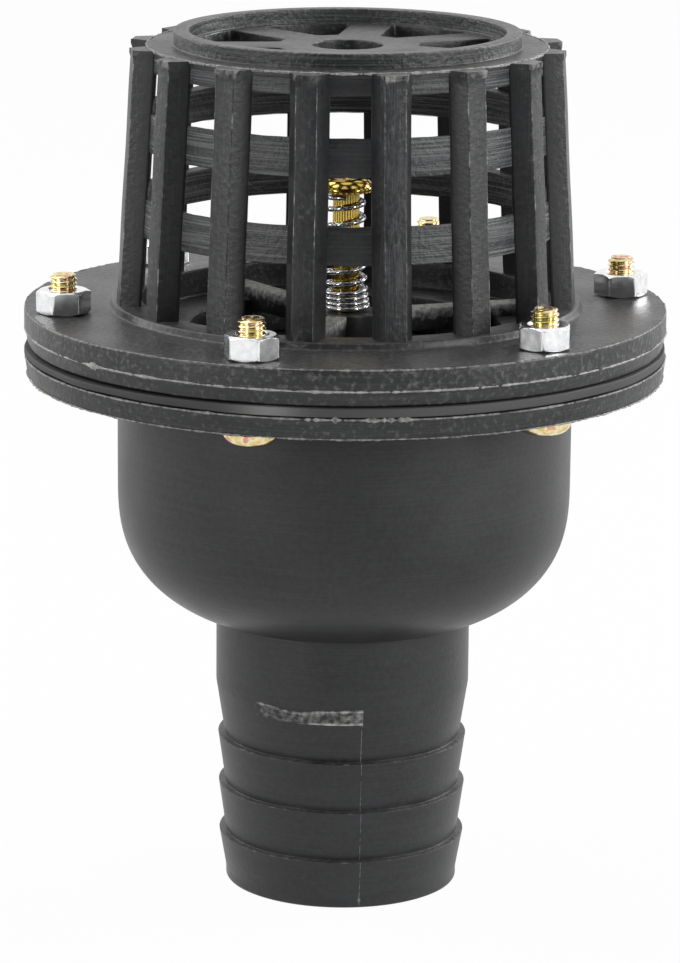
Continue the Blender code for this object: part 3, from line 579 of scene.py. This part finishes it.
def rib(index, degrees):
    """One wedge rib: a section with worn corners carried from the sill up, with a torn lip at the lid."""
    height = np.linspace(SILL_Z - 1.6, LID_Z - 0.03, 60)
    draw = np.random.default_rng(100 + index)
    face = 2.15 + draw.uniform(-0.12, 0.12)
    section = rounded([
        (-face, 0.0, 0.22), (face, 0.0, 0.22), (4.1, WEDGE, 0.3), (4.1, WEDGE + 0.5, 0.1),
        (-4.1, WEDGE + 0.5, 0.1), (-4.1, WEDGE, 0.3),
    ], steps=4)
    front = section[:, 1] < 0.6
    lip = np.clip((height - LID_Z + 1.2) / 0.25, 0.0, 1.0)[:, None]
    lip = lip * front * draw.uniform(0.05, 0.42, len(section))
    across = section[None, :, 0] * (1.0 + 0.3 * lip) + 0.06 * np.sin(height[:, None] * 0.11 + index)
    depth = rib_radius(height)[:, None] - section[None, :, 1] + lip
    depth = depth + 0.05 * np.sin(height[:, None] * 0.23 + 2.0 * index) * front
    grid = np.stack([across + 0.0 * depth, -depth, height[:, None] + 0.0 * depth], axis=-1)
    corner = np.zeros(len(section))
    corner[[1, 2, 5, 6]] = 1.0
    chipped = np.convolve(draw.uniform(-0.3, 0.75, len(height)), (0.25, 0.5, 0.25), "same")
    chipped = np.clip(chipped, 0.0, 1.0)[:, None]
    worn = np.maximum(chipped * corner, 1.3 * lip) + 0.2 * front
    pale = np.vstack([np.zeros(len(section)), worn, np.full(len(section), 0.3)])
    # Scratches up the rib on its front only, so its sides stay dark as painted shade in the recesses between the ribs;
    # the first rib's front, lit from the right, gets more as a painted highlight.
    share = draw.uniform(0.08, 0.18) + 0.14 * (index == 0)
    upright = np.tile(0.01 + share * front, len(height) + 2)
    return moved(marked(capped(grid), upright=upright, pale=pale), degrees)


def band(base, top, seed):
    """Flat ring between the ribs, leaning with them, with a drafted inside and eased edges."""
    low, high = rib_radius(base) - WEDGE, rib_radius(top) - WEDGE
    outline = stepped(rounded([
        (low, base, 0.3), (high, top, 0.3), (high - BAND_WALL, top - 0.6, 0.3), (low - BAND_WALL, base + 0.6, 0.3),
    ]), 2.0)

    def uneven(radius, height, angle):
        return radius + ripple(angle, seed, 5, 40, 0.04), height + ripple(angle, seed + 9, 8, 60, 0.05)

    def edge(radius, height, angle):
        return 0.15 * (np.minimum(height - base, top - height) < 0.35) * (radius > low - 0.9)

    # Scratches round the band, fewer in front as painted shade between the ribs there, and more towards the right as
    # painted light from that side.
    def scratches_and_painted_light(radius, height, angle):
        return 0.85 - 0.78 * np.exp(-(angle / 0.17) ** 4) + 0.15 * np.clip(np.sin(angle - 0.2), 0.0, 1.0)

    return marked(turned(outline, 192, uneven), around=scratches_and_painted_light, pale=edge)


def lid_rim():
    """Outer part of the lid: the raised ring, the plate's torn edge and the rim that leans in under it."""
    outer, outer_top = float(rib_radius(RIM_Z)) - WEDGE, float(rib_radius(LID_Z)) - WEDGE
    edge = outer_top + 0.25
    outline = stepped(rounded([
        (LID_PLATE_R, LID_Z, 0.0), (RING_R[0], LID_Z, 0.3), (RING_R[0], RING_Z, 0.3), (RING_R[1], RING_Z, 0.3),
        (RING_R[1], LID_Z, 0.3), (edge, LID_Z, 0.2), (edge, LID_Z - 1.1, 0.1),
        (outer_top + 0.06, LID_Z - 1.25, 0.1),
        (outer, RIM_Z, 0.3), (outer - BAND_WALL, RIM_Z + 0.6, 0.3), (outer_top - BAND_WALL, LID_UNDER, 0.4),
        (LID_PLATE_R, LID_UNDER, 0.0),
    ], closed=False), 2.5, closed=False)

    def change(radius, height, angle):
        torn = (radius > edge - 0.3) * (height > LID_Z - 1.2)
        return radius + torn * ripple(angle, 21, 12, 110, 0.1), height

    # Scratches round the rim under the lid's edge, left out in front as painted shade there, and scratches on the
    # raised ring's walls.
    def wall(radius, height, angle):
        rim = (0.7 - 0.7 * np.exp(-(angle / 0.17) ** 4)) * (radius > 40.5) * (height < LID_Z - 1.0)
        return rim + 0.4 * (height > LID_Z + 0.2) * (height < RING_Z - 0.1)

    # Pale on the lid's top: scuffed plastic with a painted sheen on what faces the lamps above, and paler torn edges
    # on the ring and the plate.
    def top(radius, height, angle):
        ring_edge = 0.2 * (height > RING_Z - 0.25) * (np.abs(radius - 34.9) > 1.3)
        return 0.27 * (height > LID_Z - 0.2) + ring_edge + 0.25 * (radius > 41.8) * (height > LID_Z - 1.2)

    plate = turned(outline, WINDOWS * 32, change, closed=False, start=math.radians(SPOKE_PHASE))
    return [
        marked(plate, around=wall, pale=top),
        flash_ring(edge - 0.06, LID_Z - 0.1, 81, 0.34, lean=(0.8, 0.6), width=0.62, pale=0.85),
    ]


def lid_hub():
    """Inner part of the lid: the plate round the centre hole."""
    outline = rounded([
        (LID_HUB_R, LID_Z, 0.0), (LID_HOLE, LID_Z, 0.35), (LID_HOLE, LID_UNDER, 0.2), (LID_HUB_R, LID_UNDER, 0.0),
    ], closed=False)
    plate = turned(outline, WINDOWS * 12, None, closed=False, start=math.radians(SPOKE_PHASE))
    # Pale all over like the rest of the lid: scuffed plastic with a painted sheen.
    return marked(plate, pale=0.27)


def lid_window(index):
    """One seventh of the spoked plate: a band of faces between the window's edge and the sector's edge.

    Both edges are closed loops with equal counts. The window's loop is averaged along itself to round its
    corners, and the rows run from the sector's edge over the window's lip to the underside and back.
    """
    half = TURN / WINDOWS / 2
    middle = math.radians(SPOKE_PHASE) + TURN / WINDOWS * index + half
    inner, outer, spoke = 15.0, 32.5, 4.6
    lean_in, lean_out = half - math.asin(spoke / inner), half - math.asin(spoke / outer)
    low = np.linspace(0.0, 1.0, 12, endpoint=False)
    side = np.linspace(0.0, 1.0, 20, endpoint=False)
    high = np.linspace(0.0, 1.0, 32, endpoint=False)

    def flat(radius, angle):
        return ring_points(radius, 0.0, middle + angle)[..., :2]

    def line(start, end, share):
        return start + (end - start) * share[:, None]

    corners = [flat(inner, -lean_in), flat(inner, lean_in), flat(outer, lean_out), flat(outer, -lean_out)]
    window = np.vstack([
        flat(inner, -lean_in + 2 * lean_in * low), line(corners[1], corners[2], side),
        flat(outer, lean_out - 2 * lean_out * high), line(corners[3], corners[0], side),
    ])
    sector = np.vstack([
        flat(LID_HUB_R, -half + 2 * half * low), line(flat(LID_HUB_R, half), flat(LID_PLATE_R, half), side),
        flat(LID_PLATE_R, half - 2 * half * high), line(flat(LID_PLATE_R, -half), flat(LID_HUB_R, -half), side),
    ])
    for _ in range(3):
        window = (np.roll(window, 1, axis=0) + 2 * window + np.roll(window, -1, axis=0)) / 4
    reach = np.maximum(np.linalg.norm(sector - window, axis=1, keepdims=True), 0.2)
    rows = [
        (None, LID_Z), (0.35, LID_Z), (0.12, LID_Z - 0.08), (0.0, LID_Z - 0.35), (0.0, LID_UNDER), (None, LID_UNDER),
    ]
    rings = []
    for inset, height in rows:
        share = 1.0 if inset is None else np.minimum(inset / reach, 0.9)
        flat_ring = window + (sector - window) * share
        rings.append(np.hstack([flat_ring, np.full((len(flat_ring), 1), height)]))
    # Pale all over like the rest of the lid: scuffed plastic with a painted sheen.
    return marked(shell(np.stack(rings)), pale=0.27)


def bridge():
    """Hub with the stem's hole, and three arms out to the floor."""
    parts = [turned(rounded([
        (STEM_HOLE_R, HUB_Z, 0.3), (STEM_HOLE_R, HUB_Z - 5.2, 0.2), (7.0, HUB_Z - 5.2, 0.4), (7.0, HUB_Z, 0.4),
    ]), 64)]
    along = np.linspace(6.0, FLOOR_R + 0.9, 16)
    section = rounded([
        (-2.2, HUB_Z - 0.1, 0.4), (2.2, HUB_Z - 0.1, 0.4), (2.0, HUB_Z - 5.1, 0.4), (-2.0, HUB_Z - 5.1, 0.4),
    ])
    for degrees in ARM_ANGLES:
        grid = np.stack([
            section[None, :, 0] + 0.0 * along[:, None], -along[:, None] + 0.0 * section[None, :, 0],
            section[None, :, 1] + 0.0 * along[:, None],
        ], axis=-1)
        # The arms' tops are pale as a painted highlight where they catch the light inside the basket.
        parts.append(moved(marked(capped(grid), pale=lambda r, z, a: 0.85 * (z > HUB_Z - 0.5)), degrees))
    return parts


def upper_moulding(material):
    """Flange, ribs, bands, lid and bridge in one piece."""
    parts = basket_flange() + lid_rim() + [lid_hub()]
    parts += [rib(index, degrees) for index, degrees in enumerate(RIB_ANGLES)]
    parts += [band(base, top, 31 + index) for index, (base, top) in enumerate(BANDS)]
    parts += [lid_window(index) for index in range(WINDOWS)]
    parts += bridge()
    return add_piece("basket_moulding", parts, material, "housing", "strainer_basket")


def gasket_ring(material):
    """Rubber ring with an uneven cut edge, a stretch in front with a painted sheen, and a lobe that peeps out at the
    left.
    """
    outline = rounded([
        (46.0, GASKET[0], 0.2), (67.9, GASKET[0], 0.3), (67.9, GASKET[1], 0.3), (46.0, GASKET[1], 0.2),
    ])

    def near(angle, degrees, spread):
        way = (angle - math.radians(degrees) + np.pi) % TURN - np.pi
        return np.exp(-(way / math.radians(spread)) ** 2)

    def change(radius, height, angle):
        outer = radius > 60.0
        sunk = 0.55 * near(angle, -62.0, 34.0) * (radius > 67.0) * (height > 117.5)
        reach = np.clip(ripple(angle, 41, 3, 24, 0.18) + 0.3 * near(angle, -84.0, 5.0), -0.6, 0.36)
        return radius + outer * reach, height - sunk

    ring = turned(stepped(outline, 4.0), 256, change)
    # A little pale on the whole cut edge, with a painted sheen strong in a stretch left of the front and faint to its
    # right.
    cut_edge_and_painted_sheen = lambda r, z, a: (r > 66.0) * (0.08 + 0.6 * near(a, -13.0, 5.0) + 0.12 * near(a, 20.0, 25.0))
    return add_piece("gasket_sheet", [marked(ring, pale=cut_edge_and_painted_sheen)], material, "housing", "flange_gasket")


# Screws, nuts and spring


def threaded(radius, start, end, pitch=1.0, depth=0.5, columns=40):
    """Thread: radius falls by depth * a triangle wave of (height / pitch - turn), and tapers at the end."""
    rows = int(abs(end - start) / pitch * 10)
    height = np.linspace(start, end, rows)[:, None]
    angle = np.linspace(0.0, TURN, columns, endpoint=False)[None, :]
    wave = np.abs(((height / pitch - angle / TURN) % 1.0) * 2.0 - 1.0)
    cut = np.clip(wave * 1.25 - 0.1, 0.0, 1.0)
    taper = np.clip(1.0 - np.abs(height - end) / 0.7, 0.0, 1.0)
    return ring_points(radius - depth * cut - 0.45 * taper, height + 0.0 * angle, angle)


def cross_recess(x, y):
    """Depth of a cross recess: two slots 1 mm wide and 6.4 mm long that slope down to the middle."""
    long_way = np.clip(1.0 - np.maximum(np.abs(x), np.abs(y)) / 3.2, 0.0, 1.0)
    narrow = np.clip((0.62 - np.minimum(np.abs(x), np.abs(y))) / 0.25, 0.0, 1.0)
    return 2.0 * narrow * np.minimum(long_way * 1.6, 1.0)


def pan_head(radius, height):
    """Pan head from its flat seat at zero up over the rim to the crown, with the cross recess pressed in."""
    outline = rounded([
        (1.5, 0.0, 0.0), (radius, 0.0, 0.2), (radius, height * 0.42, 1.1), (radius * 0.72, height * 0.95, 1.6),
        (0.0, height, 0.0),
    ], steps=8, closed=False)
    outline = stepped(outline, 0.22, closed=False)
    angle = np.linspace(0.0, TURN, 72, endpoint=False)[None, :]
    grid = ring_points(outline[:, :1], outline[:, 1:] + 0.0 * angle, angle)
    crown = outline[:, 1:] > height * 0.6
    grid[..., 2] -= crown * cross_recess(grid[..., 0], grid[..., 1])
    return grid


def screw_shell(radius, seat, end, thread_from, up):
    """Screw with its head's seat at one height and its threaded end, with a dimple in it, at another."""
    angle = np.linspace(0.0, TURN, 40, endpoint=False)[None]
    plain = ring_points(np.full((2, 1), radius - 0.05), np.array([[seat], [thread_from]]), angle)
    thread = threaded(radius, thread_from, end)
    dimple = np.array([(0.74, 0.0), (0.60, 0.02), (0.48, 0.22), (0.25, 0.34), (0.0, 0.36)])
    tip = ring_points(radius * dimple[:, :1], end + up * dimple[:, 1:], angle)
    first = np.repeat(plain[:1].mean(axis=1, keepdims=True), plain.shape[1], axis=1)
    shank = shell(np.concatenate([first, plain, thread, tip]))
    head = pan_head(HEAD_R, 3.0)
    head[..., 2] = seat + up * head[..., 2]
    first = np.repeat(head[:1].mean(axis=1, keepdims=True), head.shape[1], axis=1)
    return [shank, shell(np.concatenate([first, head]))]


def nut_shell(height, flats=NUT_FLATS, bore=3.05):
    """Hexagon nut with a corner at the front: the hexagon's radius, cut by a 30 degree cone at each end."""
    angle = np.linspace(0.0, TURN, 6 * 20, endpoint=False)[None, :]
    side = angle % (np.pi / 3) - np.pi / 6
    hexagon = np.minimum(flats / 2 / np.cos(side), flats / 2 * 1.1547 - 0.12)
    z = np.concatenate([
        np.linspace(0.0, 0.7, 8), np.linspace(0.8, height - 0.8, 6), np.linspace(height - 0.7, height, 8),
    ])[:, None]
    cone = flats / 2 * 0.955 + np.minimum(z, height - z) / math.tan(math.radians(30.0))
    sides = ring_points(np.minimum(hexagon, cone), z + 0.0 * angle, angle)
    top = ring_points(np.array([[bore + 0.55], [bore], [bore]]), np.array([[height], [height - 0.5], [0.4]]), angle)
    low = ring_points(np.array([[bore + 0.55]]), np.array([[0.0]]), angle)
    return shell(np.concatenate([sides, top, low]), rows_closed=True)


def flange_fasteners(gold, zinc):
    """Six screws from below and six nuts that sit right on the flange."""
    for index, degrees in enumerate(BOLT_ANGLES):
        place = spot(BOLT_CIRCLE, degrees)
        number = index + 1
        shells = screw_shell(STEM_R, SCREW_SEAT_Z, SCREW_END_Z, SCREW_THREAD_Z, -1.0)
        screw = [moved(part, 17.0 * index, place) for part in shells]
        add_piece(
            "screw_%d" % number, screw, gold, "housing", "flange_screw_%d" % number, sharp=50.0,
        )
        nut = moved(nut_shell(NUT_HEIGHT), NUT_TURNS[index], (place[0], place[1], BASKET_FLANGE[1] + 0.02))
        add_piece("nut_%d" % number, [nut], zinc, "housing", "flange_nut_%d" % number, sharp=24.0)


def spring_wire(material):
    """Compression spring: each turn ends in front at its own height, close at the ground foot and open above."""
    turns = np.linspace(-0.7, len(STRANDS) - 1.0, (len(STRANDS) - 1) * 60)
    height = np.interp(turns, np.arange(len(STRANDS)), STRANDS)
    height = np.convolve(np.pad(height, 14, mode="edge"), np.full(29, 1.0 / 29), mode="valid")
    radius = SPRING_FOOT_R - 0.075 * turns
    angle = TURN * turns
    path = ring_points(radius, height, angle)
    path[:, 0] += 0.45 * np.clip(1.0 - turns / 5.0, 0.0, 1.0)
    thick = WIRE_R - 0.25 * np.clip(-turns / 0.7, 0.0, 1.0)
    coil = tube(path, ring_points(1.0, 0.0, angle), thick)
    piece = add_piece("spring_wire", [coil], material, "housing", "return_spring")
    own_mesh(piece)
    return piece


def lathe_piece(name, node, corners, material, columns=128):
    """A round piece of the moving stack, from its corners and their easing."""
    return add_piece(name, [turned(stepped(rounded(corners), 3.0), columns)], material, "poppet", node)


def stem_stack(plastic, rubber, gold, zinc):
    """Everything that lifts with the stem."""
    add_piece(
        "stem", screw_shell(STEM_R, STEM_HEAD_Z, STEM_END_Z, STEM_THREAD_Z, 1.0), gold, "poppet", "stem_screw",
        sharp=50.0,
    )
    lathe_piece("disc", "valve_disc", [
        (STEM_HOLE_R, 111.4, 0.2), (STEM_HOLE_R, 107.0, 0.2), (9.0, 107.0, 0.4), (9.7, 108.4, 0.5), (34.5, 108.4, 0.5),
        (35.1, 107.2, 0.4), (37.9, 107.2, 0.4), (38.5, 108.4, 0.4), (38.5, 111.4, 0.3),
    ], plastic)
    lathe_piece("pad", "seal_pad", [
        (STEM_HOLE_R, 111.7, 0.2), (38.0, 111.7, 0.3), (38.0, 114.2, 0.3), (STEM_HOLE_R, 114.2, 0.2),
    ], rubber)
    lathe_piece("clamp_plate", "pad_retainer", [
        (STEM_HOLE_R, 114.5, 0.1), (16.0, 114.5, 0.1), (16.0, 114.9, 0.2), (14.8, 115.7, 0.5),
        (STEM_HOLE_R, 115.7, 0.1),
    ], zinc)
    lathe_piece("washer", "stem_washer", [
        (STEM_HOLE_R, 105.1, 0.1), (6.0, 105.1, 0.2), (6.0, 106.7, 0.2), (STEM_HOLE_R, 106.7, 0.1),
    ], zinc, columns=64)
    for name, height, base in (("thin_nut", 3.2, 116.0), ("lock_nut", NUT_HEIGHT, 99.8)):
        nut = moved(nut_shell(height), 0.0, (0.0, 0.0, base))
        add_piece(name, [nut], zinc, "poppet", "stem_" + name, sharp=24.0)


# Stage, light and camera


def seen_share(tree):
    """One for rays from the camera and from shiny or clear things, and zero for the rest."""
    path = add_node(tree, "ShaderNodeLightPath").outputs
    seen = sum_up(tree, "MAXIMUM", path["Is Camera Ray"], path["Is Glossy Ray"])
    return sum_up(tree, "MAXIMUM", seen, path["Is Transmission Ray"])


def backdrop_mix(tree, shader_output, share):
    """Mix the surface towards plain white where it is seen."""
    share = sum_up(tree, "MULTIPLY", seen_share(tree), share)
    white = add_node(tree, "ShaderNodeEmission", {"Color": (1.0, 1.0, 1.0, 1.0), "Strength": 1.0}).outputs[0]
    return add_node(tree, "ShaderNodeMixShader", {0: share, 1: shader_output, 2: white}).outputs[0]


def pale_floor():
    """Plain pale floor far wider than the view."""
    mesh = bpy.data.meshes.new("floor")
    size, drop = 6.0, -0.0001
    corners = [(-size, -size, drop), (size, -size, drop), (size, size, drop), (-size, size, drop)]
    mesh.from_pydata(corners, [], [(0, 1, 2, 3)])
    material, tree, shader, place = new_material("matt_white_floor")
    paper = add_node(tree, "ShaderNodeTexNoise", {"Vector": place, "Scale": 300.0}).outputs["Fac"]
    tree.links.new(mix_colour(tree, paper, "#d2d2d2", "#d6d6d6"), shader.inputs["Base Color"])
    shader.inputs["Roughness"].default_value = 0.9
    out = tree.nodes["Material Output"]
    tree.links.new(backdrop_mix(tree, shader.outputs[0], 0.97), out.inputs["Surface"])
    mesh.materials.append(material)
    floor = bpy.data.objects.new("floor", mesh)
    bpy.context.scene.collection.objects.link(floor)


def white_world():
    """White surroundings: strength 1 where they are seen, and a plain softer level where they light."""
    world = bpy.data.worlds.new("white_surroundings")
    bpy.context.scene.world = world
    world.use_nodes = True
    tree = world.node_tree
    background = tree.nodes["Background"]
    background.inputs["Color"].default_value = (1.0, 1.0, 1.0, 1.0)
    inputs = {"Value": seen_share(tree), "To Min": 0.25, "To Max": 1.0}
    level = add_node(tree, "ShaderNodeMapRange", inputs).outputs["Result"]
    tree.links.new(level, background.inputs["Strength"])


def dark_card():
    """Black card behind the camera that keeps the front of shiny things dark; the camera never sees it."""
    mesh = bpy.data.meshes.new("dark_card")
    wide, low, high, back = 0.95, 0.02, 1.5, -1.6
    corners = [(-wide, back, low), (wide, back, low), (wide, back, high), (-wide, back, high)]
    mesh.from_pydata(corners, [], [(3, 2, 1, 0)])
    material, tree, shader, place = new_material("black_velvet_card")
    shader.inputs["Base Color"].default_value = srgb("#080808")
    shader.inputs["Roughness"].default_value = 1.0
    mesh.materials.append(material)
    card = bpy.data.objects.new("dark_card", mesh)
    card.visible_camera = False
    card.visible_shadow = False
    bpy.context.scene.collection.objects.link(card)


def soft_lamp(name, place, aim, size, power):
    """Square soft box that faces its aim."""
    lamp = bpy.data.lights.new(name, "AREA")
    lamp.shape = "SQUARE"
    lamp.size = size
    lamp.energy = power
    holder = bpy.data.objects.new(name, lamp)
    holder.location = place
    holder.rotation_euler = (Vector(aim) - Vector(place)).to_track_quat("-Z", "Y").to_euler()
    bpy.context.scene.collection.objects.link(holder)


def add_camera():
    """Camera of the photograph: 0.95 m in front, looking 13.4 degrees down with a slight lean."""
    data = bpy.data.cameras.new("view")
    data.sensor_fit = "VERTICAL"
    data.sensor_height = 36.0
    data.lens = 170.7
    camera = bpy.data.objects.new("view", data)
    heading, pitch, roll = -0.00088, math.radians(13.399), math.radians(0.49)
    ahead = Vector((math.sin(heading) * math.cos(pitch), math.cos(heading) * math.cos(pitch), -math.sin(pitch)))
    right = Vector((math.cos(heading), -math.sin(heading), 0.0))
    above = right.cross(ahead)
    right, above = (
        right * math.cos(roll) + above * math.sin(roll),
        above * math.cos(roll) - right * math.sin(roll),
    )
    matrix = Matrix((right, above, -ahead)).transposed().to_4x4()
    matrix.translation = Vector((0.0, -0.9519, 0.3145))
    camera.matrix_world = matrix
    bpy.context.scene.collection.objects.link(camera)
    bpy.context.scene.camera = camera


plastic = moulded_polypropylene()
rubber = sheet_rubber()
gold = yellow_zinc(
    "yellow_passivated_zinc_plate", ("#b5b27a", "#dcc684", "#f1e3bd", "#dda982", "#cf9190"),
)
stem_gold = yellow_zinc(
    "deep_yellow_passivated_zinc_plate", ("#c3bd6c", "#ddbe58", "#e4c468", "#dcae62", "#d69482"),
)
zinc = bright_plated("bright_zinc_plate", "#e2e4e6", "#fafafa", 0.14, 0.26)
wire = bright_plated("drawn_spring_steel", "#c4c4c5", "#ebebec", 0.12, 0.22)

lower_moulding(plastic)
upper_moulding(plastic)
gasket_ring(rubber)
flange_fasteners(gold, zinc)
spring_wire(wire)
stem_stack(plastic, rubber, stem_gold, zinc)

pale_floor()
white_world()
dark_card()
soft_lamp("key", (-0.7, 0.2, 1.1), (0.0, 0.0, 0.1), 0.8, 6.0)
soft_lamp("right", (1.3, -0.85, 0.55), (0.0, 0.0, 0.1), 0.5, 13.0)
soft_lamp("left", (-1.2, -1.0, 0.45), (0.0, 0.0, 0.1), 0.45, 6.4)
soft_lamp("back right", (1.1, 0.55, 0.6), (0.0, 0.0, 0.1), 0.6, 13.0)
soft_lamp("back left", (-1.15, 0.6, 0.5), (0.0, 0.0, 0.1), 0.5, 5.0)
add_camera()
bpy.context.scene.view_settings.view_transform = "Standard"
